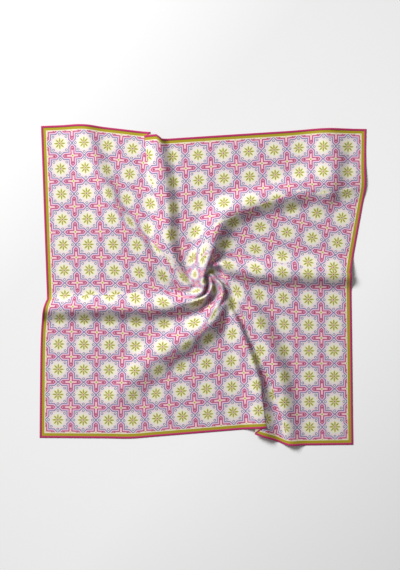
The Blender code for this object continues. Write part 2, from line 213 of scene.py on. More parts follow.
def before(onset, x):
    """0 beyond an onset, 1 by its width before it."""
    return eased((onset.start - x) / onset.width)


def laid(index, flat):
    """Where a panel puts points of the cut; nearer the pinch it shrinks towards the pinch."""
    panel = PANELS[index % len(PANELS)]
    shrunk = np.minimum(np.hypot(flat[..., 0], flat[..., 1]) / DRAWN, 1.0)[..., None]
    flat = flat / shrunk
    x, y = flat[..., 0], flat[..., 1]
    place = placed(panel, flat)
    radius = np.hypot(x, y)
    bearing = np.degrees(np.arctan2(y, x))
    if panel.name == "upper":
        # the hem is drawn up where the cloth climbs over the ridge at the step
        drawn = before(STEP, x) * past(STEP_HEM, y)
        place = place + drawn[..., None] * np.array(STEP_DRAWN) * MM
        # its far corner bends back a little
        bent = past(CORNER_OUT, radius) * before(CORNER_LEFT, bearing) * past(CORNER_RIGHT, bearing)
        place = place + (placed(CORNER, flat) - place) * bent[..., None]
    elif panel.name == "lower_left":
        # the hem is drawn in where it climbs to the fold
        drawn = np.exp(-np.maximum(CLIMB.start - y, 0.0) / CLIMB.width) * before(CLIMB_HEM, x)
        place = place + drawn[..., None] * np.array(CLIMB_DRAWN) * MM
    elif panel.name == "flap":
        # the flap opens out of the lower panel on its way to the hem
        lower = PANELS[(index + 1) % len(PANELS)]
        place = place + (placed(lower, flat) - place) * (1 - past(FLAP_OUT, radius))[..., None]
    return place * shrunk


BEND_RANGE = (4.0, 179.8)       # degrees that a bend of a tuck may turn through
HALVINGS = 32                   # of that range, to find the bend


def tuck_shape(hidden, fall):
    """Angle of the two bends of a tuck, and the straight run between them."""
    low, high = np.radians(BEND_RANGE)
    for _ in range(HALVINGS):
        bend = (low + high) / 2
        run = max(fall - 2 * BEND * (1 - np.cos(bend)), 0.0) / np.sin(bend)
        takes = 2 * BEND * (bend - np.sin(bend)) + run * (1 - np.cos(bend))
        if takes < hidden:
            low = bend
        else:
            high = bend
    return bend, run


def along_tuck(x, bend, run):
    """Cloth hidden and height lost by x, measured along the cloth from the start of the upper bend."""
    arc = BEND * bend
    x = np.clip(x, 0.0, 2 * arc + run)
    first = np.minimum(x, arc) / BEND
    middle = np.clip(x - arc, 0.0, run)
    last = bend - np.clip(x - arc - run, 0.0, arc) / BEND
    ahead = BEND * (np.sin(first) + np.sin(bend) - np.sin(last)) + middle * np.cos(bend)
    down = BEND * (1 - np.cos(first) + np.cos(last) - np.cos(bend)) + middle * np.sin(bend)
    return x - ahead, down


def tuck_line(index, share):
    """Bearing and point where the middle of a tuck crosses a ring of the cut."""
    tuck = TUCKS[index]
    bearing = np.radians(through([tuck.hem, tuck.outer, tuck.half, tuck.inner], 4 * (1 - share)))
    return bearing, flat_point(share, bearing)


MIDDLE_RING = 0.02              # innermost ring of the cut, as a share of the half side
RING_STEP = 0.01                # to either side of a ring, to find which way a tuck runs there
BUNCHED = 3.0                   # millimetres of surplus cloth that only bunch up
FOLDED = 12.0                   # millimetres more by which it is folded over
LEAST_FOLD = 0.6 * MM
PLY = 0.2 * MM                  # air between the layers of a tuck
LIFTED = 1.5 * MM               # doubled cloth that lifts the upper panel by its full thickness
SOFT_RADIUS = 0.2               # inside this radius a bunch narrows towards the pinch
Section = namedtuple("Section", "tuck bearing point radius normal bend run length hidden fall start under "
                                "folded lifted soft")


def tuck_section(index, share):
    """Section of a tuck where it crosses a ring; offsets across it grow clockwise."""
    tuck = TUCKS[index]
    bearing, point = tuck_line(index, share)
    radius = np.hypot(*point)
    further, nearer = min(share + RING_STEP, 1.0), max(share - RING_STEP, RING_STEP / 2)
    ahead = tuck_line(index, further)[1] - tuck_line(index, nearer)[1]
    normal = np.array([ahead[1], -ahead[0]]) / np.hypot(*ahead)
    turn = np.radians(PANELS[index].turn + PANELS[(index + 1) % len(PANELS)].turn) / 2
    doubled = (laid(index, point) - laid(index + 1, point)) @ turned(normal, turn)
    rise = through([tuck.rise_hem, tuck.rise_half, tuck.rise_inner], 2 * (1 - share))
    rise = rise * out_of_knot(radius) * MM
    # a little surplus cloth only bunches up, more of it folds over
    folded = out_of_knot(radius) * eased((doubled / MM - BUNCHED) / FOLDED)
    if tuck.upper == "neither":
        folded = 0.0
    doubled = doubled * folded
    bend, run = tuck_shape(max(doubled, LEAST_FOLD), rise + PLY + 4 * BEND)
    length = 2 * BEND * bend + run
    hidden, fall = along_tuck(length, bend, run)
    start = -hidden / 2 if tuck.upper == "before" else hidden / 2 - length
    under = max(-run * np.cos(bend), 0.0)
    lifted = eased(doubled / LIFTED)
    soft = tuck.soft * MM * min(radius / SOFT_RADIUS, 1.0)
    return Section(tuck, bearing, point, radius, normal, bend, run, length, hidden, fall, start, under,
                   folded, lifted, soft)


def across_tuck(section, flat, bearing):
    """Share of the panel after the tuck, and lift of the upper panel by the cloth under it."""
    around = (bearing - section.bearing + np.pi) % (2 * np.pi) - np.pi
    far = np.abs(around) > np.radians(FAR)
    offset = np.where(far, -np.sign(around) * HALF, (flat - section.point) @ section.normal)
    soft = eased(0.5 + offset / section.soft)
    if section.tuck.upper == "neither":
        return soft, np.zeros(soft.shape)
    x = offset - section.start
    if section.tuck.upper == "after":
        x = section.length - x
    hidden, down = along_tuck(x, section.bend, section.run)
    share = hidden / section.hidden
    if section.tuck.upper == "after":
        share = 1 - share
    share = section.folded * share + (1 - section.folded) * soft
    behind = np.minimum(x + section.under + BEND, 0.0)
    lift = (section.fall - down) * eased(1 + behind / (section.tuck.shoulder * MM))
    return share, lift * section.lifted


CREST_STEPS = 10                # straight steps along a crest from one station to the next
BLEND = 3                       # how sharply two ridges meet; more is sharper


def ridge_height(stations, place):
    """Height of one ridge over points of the table."""
    stations = np.array(stations, dtype=float) * MM
    steps = np.linspace(0, len(stations) - 1, CREST_STEPS * (len(stations) - 1) + 1)
    rows = np.stack([through(column, steps) for column in stations.T], axis=-1)
    nearest = np.full(place.shape[:-1], np.inf)
    height = np.zeros(place.shape[:-1])
    for start, end in zip(rows[:-1], rows[1:]):
        step = end[:2] - start[:2]
        reach = place - start[:2]
        part = np.clip(reach @ step / (step @ step), 0.0, 1.0)
        x, y, rise, gentle, steep = np.moveaxis(start + part[..., None] * (end - start), -1, 0)
        away = place - np.stack([x, y], axis=-1)
        distance = np.maximum(np.hypot(away[..., 0], away[..., 1]), 1e-9)
        side = (step[0] * away[..., 1] - step[1] * away[..., 0]) / (np.hypot(*step) * distance)
        width = steep + (gentle - steep) * (0.5 + 0.5 * side)
        closer = distance < nearest
        height = np.where(closer, rise * (1 - eased(distance / width)), height)
        nearest = np.where(closer, distance, nearest)
    return np.maximum(height, 0.0)


def ground(place):
    """Height of the ridges together, which run into each other without a kink."""
    heights = np.stack([ridge_height(stations, place) for stations in RIDGES.values()])
    return np.sum(heights ** BLEND, axis=0) ** (1 / BLEND)


def middle_of_cloth(share, bearing):
    """Middle of the cloth's thickness, at bearings round one ring of the cut."""
    flat = flat_point(share, bearing)
    sections = [tuck_section(index, share) for index in range(len(TUCKS))]
    first = (sections[-1].bearing + sections[0].bearing) / 2 + np.pi
    clockwise = (first - bearing) % (2 * np.pi)
    place = laid(0, flat)
    lift = np.zeros(flat.shape[:-1])
    for index, section in enumerate(sections):
        passed, raised = across_tuck(section, flat, bearing)
        crossing = (first - section.bearing) % (2 * np.pi)
        apart = np.abs(clockwise - crossing) > np.radians(FAR)
        passed = np.where(apart, clockwise > crossing, passed)
        place = place + passed[..., None] * (laid(index + 1, flat) - place)
        lift = lift + np.where(apart, 0.0, raised)
    radius = np.hypot(flat[..., 0], flat[..., 1])
    gathered = GATHER * flat
    place = gathered + out_of_knot(radius)[..., None] * (place - gathered)
    out = np.hypot(place[..., 0], place[..., 1])
    place = turned(place, np.radians(TWIST) * np.exp(-out / TWIST_REACH))
    height = CLOTH / 2 + ground(place) + lift
    return np.concatenate([place + PINCH, height[..., None]], axis=-1), flat


NARROWINGS = 8                  # rounds that narrow down a bearing
BEND_STEPS = 5                  # faces round each bend of a tuck
RUN_STEPS = 4                   # faces on the straight run between them
LEAST_TUCK = 8 * MM             # least cloth that the spokes of a tuck are spread over
LEAST_TURN = 0.13               # or, near the pinch, this share of the radius
NEAR_HEM = 0.97                 # ring by whose tucks the spokes are shared out at the corners
EVEN = 0.4                      # radius, in knots, within which the spokes spread evenly


def bearings_across(section, share, offsets):
    """Bearings of the ring's points that lie at the given offsets across a tuck."""
    bearing = section.bearing - offsets / section.radius
    for _ in range(NARROWINGS):
        reached = (flat_point(share, bearing) - section.point) @ section.normal
        bearing = bearing - (offsets - reached) / section.radius
    return bearing


def tuck_bearings(share):
    """Bearings of the spokes in every tuck, from one panel's edge to the next one's."""
    tucks = []
    for index in range(len(TUCKS)):
        section = tuck_section(index, share)
        arc = BEND * section.bend
        bend = np.linspace(0.0, arc, BEND_STEPS + 1)
        middle = arc + section.run * np.arange(1, RUN_STEPS) / RUN_STEPS
        along = np.concatenate([bend, middle, arc + section.run + bend]) - section.length / 2
        along = along * max(1.0, min(LEAST_TUCK, LEAST_TURN * section.radius) / section.length)
        tucks.append(bearings_across(section, share, section.start + section.length / 2 + along))
    return tucks


EVENNESS = 0.45                 # how evenly the spokes of a panel are spread


def spread(width, count):
    """Places from 0 to width, closer together near 0."""
    step = np.arange(1, count + 1) / count
    return width * (EVENNESS * step + (1 - EVENNESS) * step ** 2)


def spoke_bearings(share):
    """Bearings of the spokes on a ring, clockwise, one of them at each corner of the cut."""
    tucks = tuck_bearings(share)
    hem = tuck_bearings(max(share, NEAR_HEM))
    spokes = []
    for index, tuck in enumerate(tucks):
        beyond = (index + 1) % len(PANELS)
        panel = PANELS[beyond]
        split = 0.5
        if panel.corner is not None:
            first, last = hem[index][-1], hem[beyond][0]
            split = ((first - np.radians(panel.corner)) % (2 * np.pi)) / ((first - last) % (2 * np.pi))
        near = round(panel.spokes * split)
        first = spread(split, near)
        second = 1 - spread(1 - split, panel.spokes - near)
        width = (tuck[-1] - tucks[beyond][0]) % (2 * np.pi)
        spokes += [tuck, tuck[-1] - np.concatenate([first, second[-2::-1]]) * width]
    spokes = np.concatenate(spokes)
    # in the gathered middle the spokes spread evenly
    even = spokes.mean() + np.pi - 2 * np.pi * (np.arange(len(spokes)) + 0.5) / len(spokes)
    return even + eased(share * HALF / KNOT - EVEN) * (spokes - even)


# Rings of the cut, closer together near the pinch, and three more in the width of the hem.
PANEL_RINGS = 106
CLOSER = 1.5
hem_edge = 1 - HEM / HALF
shares = MIDDLE_RING + (hem_edge - MIDDLE_RING) * np.linspace(0.0, 1.0, PANEL_RINGS) ** CLOSER
shares = np.concatenate([shares, [1 - 0.75 * HEM / HALF, 1 - 0.5 * HEM / HALF, 1.0]])
rings = [middle_of_cloth(share, spoke_bearings(share)) for share in shares]
cloth = np.stack([ring[0] for ring in rings])
flat = np.stack([ring[1] for ring in rings])
spokes = cloth.shape[1]


# --------------------------------------------------------------------------------------------------
# The print
#
# A star-and-cross tile pattern, as on old Persian walls, screen printed in flat inks on the white
# lawn: thirteen repeats each way, inside a chartreuse border with a pale line. The ink sinks in, so
# the same print shows paler on the back of the cloth.
# --------------------------------------------------------------------------------------------------
# Sizes of the print are in millimetres.
BORDER = 5.5                    # width of the chartreuse border
PALE_LINE = 1.5
REPEATS = 13
BORDER_ENDS = HEM / MM + BORDER     # in from the edge of the cloth
LINE_ENDS = BORDER_ENDS + PALE_LINE
REPEAT = (SIDE / MM - 2 * LINE_ENDS) / REPEATS
STAR = REPEAT / 8 ** 0.5        # half the side of the two squares that make a star
PETAL = (6.6, 4.6, 1.6)         # middle, half length and half width of a rosette's petal
PETALS = 8
VEIN = 0.42                     # the olive middle of a petal, as a share of it
EYE = 1.5                       # radius of the raspberry eye of a rosette
HALO = 12.5                     # radius of the pale yellow round a rosette
HALO_FADE = 2.5                 # and how far it fades to either side of that
RINGLET = (18.6, 2.0, 0.65)     # middle, radius and half line of the ringlets in a star's points
OUTLINE = 0.8                   # half width of the slate outline of a star
LILAC = 2.1                     # where the lilac band outside that ends
INLINE = (-2.9, 0.55)           # middle and half width of the pink line inside it
CONTOUR = (4.4, 1.05)           # middle and half width of the raspberry line round inside a cross
LOZENGE = (13.4, 3.4, 2.2)      # middle, half length and half width of the lozenge in a cross's arm
BUD = 2.4                       # the chartreuse bud at the middle of a cross
BUD_RIM = 1.4                   # and the pale yellow rim round it
INKS = {
    "white": "E4DDDC", "pink": "F2BFCC", "raspberry": "AE4E78", "chartreuse": "B2AE4C", "olive": "908E38",
    "pale yellow": "EAE6C4", "slate": "767296", "lilac": "CDB2D8", "border": "A99A1B",
}
UNDYED = "F2EEEA"
BACK_DEPTH = 0.6                # how much of the ink has sunk through to the back
WAVER = 0.9                     # how far a line of the print strays
WAVER_SCALE = 0.22              # strays per millimetre
SLUB = (0.9, 0.05)              # slubs per millimetre across the threads and along them
SLUB_RANGE = (0.35, 0.75)       # of the noise, from plain thread to a full slub
SLUB_SHADE = 0.94               # a full slub's shade against the cloth
THREAD = 1.3                    # drawn four times as coarse as the real 0.3 mm, which is too fine to show
THREAD_RELIEF = 0.1 * MM
FACTOR, UNDER, OVER = 0, 6, 7   # sockets of a Mix node that mixes colours
MIXED = 2


def linear(code):
    """Linear colour of an sRGB hex value."""
    values = [int(code[i:i + 2], 16) / 255 for i in (0, 2, 4)]
    return tuple(v / 12.92 if v <= 0.04045 else ((v + 0.055) / 1.055) ** 2.4 for v in values) + (1.0,)


def node(tree, kind, inputs=(), output=0, **settings):
    """Adds a node with its settings and links; returns one of its outputs."""
    made = tree.nodes.new(kind)
    for name, value in settings.items():
        setattr(made, name, value)
    pairs = inputs.items() if isinstance(inputs, dict) else enumerate(inputs)
    for key, value in pairs:
        if isinstance(value, bpy.types.NodeSocket):
            tree.links.new(value, made.inputs[key])
        else:
            made.inputs[key].default_value = value
    return made.outputs[output]


# Fine plain-woven cotton, singed and bleached, then screen printed with pigment inks that dry in the
# threads: matt and dense in colour, with flat inks and crisp edges, a faint grain, and a soft bloom
# where it turns away from the eye.
def printed_lawn(name, depth):
    """Cotton lawn with the print; depth is how much of the ink shows on this side."""
    material = bpy.data.materials.new(name)
    material.use_nodes = True
    tree = material.node_tree
    cut = node(tree, "ShaderNodeUVMap", uv_map="flat cut")
    size = SIDE / MM
    place = node(tree, "ShaderNodeVectorMath", [cut, (size, size, 0), (-size / 2, -size / 2, 0)],
                 operation="MULTIPLY_ADD")

    # the screens print a little unevenly, so no line is quite straight
    waver = node(tree, "ShaderNodeTexNoise", {"Vector": place, "Scale": WAVER_SCALE, "Detail": 2.0},
                 output="Color")
    waver = node(tree, "ShaderNodeVectorMath", [waver, (WAVER, WAVER, 0), (-WAVER / 2, -WAVER / 2, 0)],
                 operation="MULTIPLY_ADD")
    printed = node(tree, "ShaderNodeVectorMath", [place, waver], operation="ADD")

    # distance in from the edge of the cloth
    whole = node(tree, "ShaderNodeVectorMath", [printed], operation="ABSOLUTE")
    x, y = node(tree, "ShaderNodeSeparateXYZ", [whole]).node.outputs[:2]
    edge = node(tree, "ShaderNodeMath", [x, y], operation="MAXIMUM")
    edge = node(tree, "ShaderNodeMath", [size / 2, edge], operation="SUBTRACT")

    # one repeat, with the star in its middle and the crosses at its corners
    half = REPEAT / 2
    repeat = node(tree, "ShaderNodeVectorMath", [printed, (half, half, 1), (-half, -half, -1)],
                  operation="WRAP")
    quarter = node(tree, "ShaderNodeVectorMath", [repeat], operation="ABSOLUTE")
    x, y = node(tree, "ShaderNodeSeparateXYZ", [quarter]).node.outputs[:2]
    square = node(tree, "ShaderNodeMath", [x, y], operation="MAXIMUM")
    diamond = node(tree, "ShaderNodeMath", [x, y], operation="ADD")
    diamond = node(tree, "ShaderNodeMath", [diamond, 0.5 ** 0.5], operation="MULTIPLY")
    star = node(tree, "ShaderNodeMath", [square, diamond], operation="MINIMUM")
    star = node(tree, "ShaderNodeMath", [star, STAR], operation="SUBTRACT")

    # an eighth of the rosette: along its petal and across it
    radius = node(tree, "ShaderNodeVectorMath", [quarter], output="Value", operation="LENGTH")
    angle = node(tree, "ShaderNodeMath", [y, x], operation="ARCTAN2")
    angle = node(tree, "ShaderNodeMath", [angle, np.pi / PETALS, -np.pi / PETALS], operation="WRAP")
    along = node(tree, "ShaderNodeMath", [angle], operation="COSINE")
    along = node(tree, "ShaderNodeMath", [along, radius], operation="MULTIPLY")
    across = node(tree, "ShaderNodeMath", [angle], operation="SINE")
    across = node(tree, "ShaderNodeMath", [across, radius], operation="MULTIPLY")
    petal_place = node(tree, "ShaderNodeCombineXYZ", [along, across])
    petal = node(tree, "ShaderNodeVectorMath", [petal_place, (PETAL[0], 0, 0)], operation="SUBTRACT")
    petal = node(tree, "ShaderNodeVectorMath", [petal, (PETAL[1], PETAL[2], 1)], operation="DIVIDE")
    petal = node(tree, "ShaderNodeVectorMath", [petal], output="Value", operation="LENGTH")
    ringlet = node(tree, "ShaderNodeVectorMath", [petal_place, (RINGLET[0], 0, 0)], output="Value",
                   operation="DISTANCE")
    halo = node(tree, "ShaderNodeMapRange",
                {"Value": radius, "From Min": HALO + HALO_FADE, "From Max": HALO - HALO_FADE})

    # an eighth of the cross: out along its arm and across it
    x = node(tree, "ShaderNodeMath", [half, x], operation="SUBTRACT")
    y = node(tree, "ShaderNodeMath", [half, y], operation="SUBTRACT")
    arm = node(tree, "ShaderNodeMath", [x, y], operation="MAXIMUM")
    beside = node(tree, "ShaderNodeMath", [x, y], operation="MINIMUM")
    bud = node(tree, "ShaderNodeMath", [x, y], operation="ADD")
    lozenge = node(tree, "ShaderNodeMath", [arm, LOZENGE[0]], operation="SUBTRACT")
    lozenge = node(tree, "ShaderNodeMath", [lozenge], operation="ABSOLUTE")
    lozenge = node(tree, "ShaderNodeMath", [lozenge, LOZENGE[2] / LOZENGE[1], beside],
                   operation="MULTIPLY_ADD")

    # the inks in the order in which they are printed
    layers = [
        (node(tree, "ShaderNodeMath", [star, *CONTOUR], operation="COMPARE"), "raspberry"),
        (node(tree, "ShaderNodeMath", [lozenge, LOZENGE[2]], operation="LESS_THAN"), "raspberry"),
        (node(tree, "ShaderNodeMath", [bud, BUD + BUD_RIM], operation="LESS_THAN"), "pale yellow"),
        (node(tree, "ShaderNodeMath", [bud, BUD], operation="LESS_THAN"), "chartreuse"),
        (node(tree, "ShaderNodeMath", [star, LILAC], operation="LESS_THAN"), "lilac"),
        (node(tree, "ShaderNodeMath", [star, OUTLINE], operation="LESS_THAN"), "slate"),
        (node(tree, "ShaderNodeMath", [star, -OUTLINE], operation="LESS_THAN"), "white"),
        (node(tree, "ShaderNodeMath", [star, *INLINE], operation="COMPARE"), "pink"),
        (halo, "pale yellow"),
        (node(tree, "ShaderNodeMath", [petal, 1.0], operation="LESS_THAN"), "chartreuse"),
        (node(tree, "ShaderNodeMath", [petal, VEIN], operation="LESS_THAN"), "olive"),
        (node(tree, "ShaderNodeMath", [radius, EYE], operation="LESS_THAN"), "raspberry"),
        (node(tree, "ShaderNodeMath", [ringlet, RINGLET[1], RINGLET[2]], operation="COMPARE"), "slate"),
        (node(tree, "ShaderNodeMath", [edge, LINE_ENDS], operation="LESS_THAN"), "pale yellow"),
        (node(tree, "ShaderNodeMath", [edge, BORDER_ENDS], operation="LESS_THAN"), "border"),
    ]
    colour = linear(INKS["pink"])
    for mask, ink in layers:
        colour = node(tree, "ShaderNodeMix", {FACTOR: mask, UNDER: colour, OVER: linear(INKS[ink])},
                      output=MIXED, data_type="RGBA")
    colour = node(tree, "ShaderNodeMix", {FACTOR: depth, UNDER: linear(UNDYED), OVER: colour},
                  output=MIXED, data_type="RGBA")

    # slubs: here and there a thread is thicker and looks a shade darker
    plain, full = SLUB_RANGE
    for stretch in [(SLUB[0], SLUB[1], 1), (SLUB[1], SLUB[0], 1)]:
        thread = node(tree, "ShaderNodeVectorMath", [place, stretch], operation="MULTIPLY")
        slub = node(tree, "ShaderNodeTexNoise", {"Vector": thread, "Scale": 1.0, "Detail": 1.0})
        slub = node(tree, "ShaderNodeMapRange", {"Value": slub, "From Min": plain, "From Max": full,
                                                 "To Min": 1.0, "To Max": SLUB_SHADE})
        colour = node(tree, "ShaderNodeVectorMath", {"Vector": colour, "Scale": slub}, operation="SCALE")

    # plain weave: each thread goes over one and under the next
    weave = node(tree, "ShaderNodeVectorMath", [place, (np.pi / THREAD, np.pi / THREAD, 0)],
                 operation="MULTIPLY")
    weave = node(tree, "ShaderNodeVectorMath", [weave], operation="SINE")
    x, y = node(tree, "ShaderNodeSeparateXYZ", [weave]).node.outputs[:2]
    weave = node(tree, "ShaderNodeMath", [x, y], operation="MULTIPLY")
    bump = node(tree, "ShaderNodeBump", {"Height": weave, "Strength": 0.25, "Distance": THREAD_RELIEF})
    shader = tree.nodes["Principled BSDF"]
    tree.links.new(colour, shader.inputs["Base Color"])
    tree.links.new(bump, shader.inputs["Normal"])
    shader.inputs["Roughness"].default_value = 0.8
    shader.inputs["Specular IOR Level"].default_value = 0.3
    shader.inputs["Sheen Weight"].default_value = 0.12
    shader.inputs["Sheen Roughness"].default_value = 0.5
    return material


def add_mesh(name, points, faces, material):
    """An object of its own with a smooth mesh and one material."""
    mesh = bpy.data.meshes.new(name)
    mesh.from_pydata([tuple(point) for point in points], [], faces)
    mesh.update()
    mesh.shade_smooth()
    mesh.materials.append(material)
    built = bpy.data.objects.new(name, mesh)
    bpy.context.scene.collection.objects.link(built)
    return built


def add_map(built, name, coordinates):
    """UV map with a pair of coordinates for each point of the mesh."""
    layer = built.data.uv_layers.new(name=name)
    vertex = np.zeros(len(built.data.loops), dtype=np.int32)
    built.data.loops.foreach_get("vertex_index", vertex)
    layer.data.foreach_set("uv", coordinates[vertex].astype(np.float32).ravel())


# The sheet ends one ring inside the hem, whose roll covers its edge. Its upper side is up, and one
# face closes it at the pinch.
faces = [tuple(range(spokes))[::-1]]
for ring in range(PANEL_RINGS):
    for spoke in range(spokes):
        near, beside = ring * spokes + spoke, ring * spokes + (spoke + 1) % spokes
        faces.append((near, beside, beside + spokes, near + spokes))
scarf = add_mesh("scarf_cloth", cloth[:PANEL_RINGS + 1].reshape(-1, 3), faces,
                 printed_lawn("screen-printed cotton lawn", 1.0))
scarf.data.materials.append(printed_lawn("back of the printed lawn", BACK_DEPTH))
add_map(scarf, "flat cut", flat[:PANEL_RINGS + 1].reshape(-1, 2) / SIDE + 0.5)
wall = scarf.modifiers.new("cloth thickness", "SOLIDIFY")
wall.thickness = CLOTH
wall.offset = 0.0
wall.material_offset = 1
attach(scarf, "root")
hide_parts("scarf_panel")


# --------------------------------------------------------------------------------------------------
# The hems
#
# The four edges of the square, each rolled over by hand into a narrow roll of the same cotton dyed
# magenta, and whipped down from behind. The stitches pull the roll in, so it looks like a soft rope.
# --------------------------------------------------------------------------------------------------
STITCH = 3.6 * MM               # from one stitch to the next
HEM_ROUND = 12                  # sides of the roll
ROLL = 0.6 * MM                 # half its thickness
FLATTENED = 0.7                 # power that flattens the roll's sides; 1 is an oval
DENT_TURNS = 2                  # dents that a line round the roll crosses
DENT = 0.3 * MM
DENT_PAINTED_SHADE = (0.8, 1.05)       # painted shade in a dent and painted highlight between two of them
FIBRES = 0.9 / MM               # slack fibres in a metre
FIBRE_RELIEF = 0.4              # how far they stand up, as a share of a dent
MAGENTA = "B82E66"
SAME_CORNER = 1e-6              # radians, so that the spoke at a corner belongs to both its sides


# The same cotton, vat dyed in one deep colour before it is rolled: matt, with no sheen but its fuzz. Its
# colour has painted shade down in the dents where the stitches pull it in, and a little painted highlight on
# the rounds between.
def rolled_cotton(name, code):
    """Matt dyed cotton, whose roll shows a slanting dent at each stitch."""
    material = bpy.data.materials.new(name)
    material.use_nodes = True
    tree = material.node_tree
    place = node(tree, "ShaderNodeUVMap", uv_map="along the hem")
    place = node(tree, "ShaderNodeVectorMath", [place, (2 * np.pi / STITCH, 2 * np.pi * DENT_TURNS, 0)],
                 operation="DOT_PRODUCT", output="Value")
    dent = node(tree, "ShaderNodeMath", [place], operation="SINE")
    fibre = node(tree, "ShaderNodeTexCoord", output="Object")
    fibre = node(tree, "ShaderNodeTexNoise", {"Vector": fibre, "Scale": FIBRES, "Detail": 2.0})
    height = node(tree, "ShaderNodeMath", [fibre, FIBRE_RELIEF, dent], operation="MULTIPLY_ADD")
    bump = node(tree, "ShaderNodeBump", {"Height": height, "Strength": 0.5, "Distance": DENT})
    # painted shade: the colour is darkened in each dent and lightened on the rounds between, as light would
    # fall
    shade = node(tree, "ShaderNodeMapRange", {"Value": dent, "From Min": -1.0, "From Max": 1.0,
                                              "To Min": DENT_PAINTED_SHADE[0], "To Max": DENT_PAINTED_SHADE[1]})
    colour = node(tree, "ShaderNodeVectorMath", {"Vector": linear(code)[:3], "Scale": shade},
                  operation="SCALE")
    shader = tree.nodes["Principled BSDF"]
    tree.links.new(colour, shader.inputs["Base Color"])
    tree.links.new(bump, shader.inputs["Normal"])
    shader.inputs["Roughness"].default_value = 0.8
    shader.inputs["Specular IOR Level"].default_value = 0.3
    shader.inputs["Sheen Weight"].default_value = 0.1
    shader.inputs["Sheen Roughness"].default_value = 0.5
    return material


hem_cotton = rolled_cotton("magenta dyed cotton, rolled", MAGENTA)
hem_inner, hem_spine, hem_outer = cloth[PANEL_RINGS - 1], cloth[-2], cloth[-1]
bearing = np.arctan2(flat[-1, :, 1], flat[-1, :, 0])
along = np.roll(hem_spine, -1, axis=0) - np.roll(hem_spine, 1, axis=0)
normal = np.cross(along, hem_outer - hem_inner)
normal /= np.linalg.norm(normal, axis=1, keepdims=True)
angles = 2 * np.pi * np.arange(HEM_ROUND) / HEM_ROUND
across = np.sign(np.cos(angles)) * np.abs(np.cos(angles)) ** FLATTENED
raised = np.sin(angles)
stitch_lines = []
for name, start in [("top", 135), ("right", 45), ("bottom", -45), ("left", -135)]:
    # the spokes from this side's first corner, clockwise to its second one
    turns = (np.radians(start) - bearing + SAME_CORNER) % (2 * np.pi)
    order = np.argsort(turns)
    order = order[turns[order] < np.pi / 2 + 2 * SAME_CORNER]
    half = (hem_outer - hem_inner)[order] / 2
    # the roll lies on the table, and the square comes into it low on its inner side
    centre = (hem_outer + hem_inner)[order] / 2 + (ROLL - CLOTH / 2) * normal[order]
    section = (centre[:, None] + across[None, :, None] * half[:, None]
               + raised[None, :, None] * ROLL * normal[order][:, None])
    faces = []
    for ring in range(len(order) - 1):
        for side in range(HEM_ROUND):
            near, beside = ring * HEM_ROUND + side, ring * HEM_ROUND + (side + 1) % HEM_ROUND
            faces.append((near, beside, beside + HEM_ROUND, near + HEM_ROUND))
    last = (len(order) - 1) * HEM_ROUND
    faces += [tuple(range(HEM_ROUND - 1, -1, -1)), tuple(range(last, last + HEM_ROUND))]
    hem = add_mesh("rolled_hem_" + name, section.reshape(-1, 3), faces, hem_cotton)
    # the roll is smooth, with a sharp edge where it is mitred
    mitres = {key for cap in list(hem.data.polygons)[-2:] for key in cap.edge_keys}
    for edge in hem.data.edges:
        edge.use_edge_sharp = edge.key in mitres
    length = np.linalg.norm(np.diff(centre, axis=0), axis=1)
    length = np.concatenate([[0.0], np.cumsum(length)])
    roll = np.stack(np.broadcast_arrays(length[:, None], np.arange(HEM_ROUND) / HEM_ROUND), axis=-1)
    add_map(hem, "along the hem", roll.reshape(-1, 2))
    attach(hem, "root")
    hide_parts("hem_" + name)
    stitch_lines.append((hem_inner[order] + ROLL / 2 * normal[order], normal[order]))


# --------------------------------------------------------------------------------------------------
# The stitches
#
# Small slanting hand stitches of magenta cotton thread, which hold each roll to the square. Each lies
# half sunk where the roll meets the cloth, and no two slant quite alike.
# --------------------------------------------------------------------------------------------------
STITCH_LENGTH = 2.0 * MM
STITCH_WIDTH = 0.5 * MM
STITCH_SLANT = 40.0             # degrees from the line of the hem
STITCH_STRAY = 0.2              # radians by which one slants more or less than that

# Spun and dyed cotton: matt, a shade lighter than the roll, with no detail of its own to be seen.
sewing_thread = bpy.data.materials.new("magenta cotton sewing thread")
sewing_thread.use_nodes = True
shader = sewing_thread.node_tree.nodes["Principled BSDF"]
shader.inputs["Base Color"].default_value = linear("BC3A78")
shader.inputs["Roughness"].default_value = 0.75
shader.inputs["Specular IOR Level"].default_value = 0.3

sewing = bpy.data.node_groups.new("slanting stitches", "GeometryNodeTree")
SEWING_INPUTS = [
    ("Seam", "Geometry", None), ("Spacing", "Float", STITCH), ("Length", "Float", STITCH_LENGTH),
    ("Width", "Float", STITCH_WIDTH), ("Slant", "Float", np.radians(STITCH_SLANT)),
    ("Stray", "Float", STITCH_STRAY), ("Seed", "Int", 3),
]
sockets = [sewing.interface.new_socket(name, in_out="INPUT", socket_type="NodeSocket" + kind)
           for name, kind, value in SEWING_INPUTS]
sewing.interface.new_socket("Stitches", in_out="OUTPUT", socket_type="NodeSocketGeometry")
given = sewing.nodes.new("NodeGroupInput").outputs
seam = node(sewing, "GeometryNodeMeshToCurve", [given["Seam"]])
seam = node(sewing, "GeometryNodeResampleCurve", {"Curve": seam, "Length": given["Spacing"]}, mode="LENGTH")
tangent = node(sewing, "GeometryNodeInputTangent")
turn = node(sewing, "FunctionNodeAlignRotationToVector", {"Vector": tangent}, axis="X")
up = node(sewing, "GeometryNodeInputNamedAttribute", {"Name": "up"}, data_type="FLOAT_VECTOR")
turn = node(sewing, "FunctionNodeAlignRotationToVector", {"Rotation": turn, "Vector": up}, axis="Z",
            pivot_axis="X")
less = node(sewing, "ShaderNodeMath", [given["Stray"], -1.0], operation="MULTIPLY")
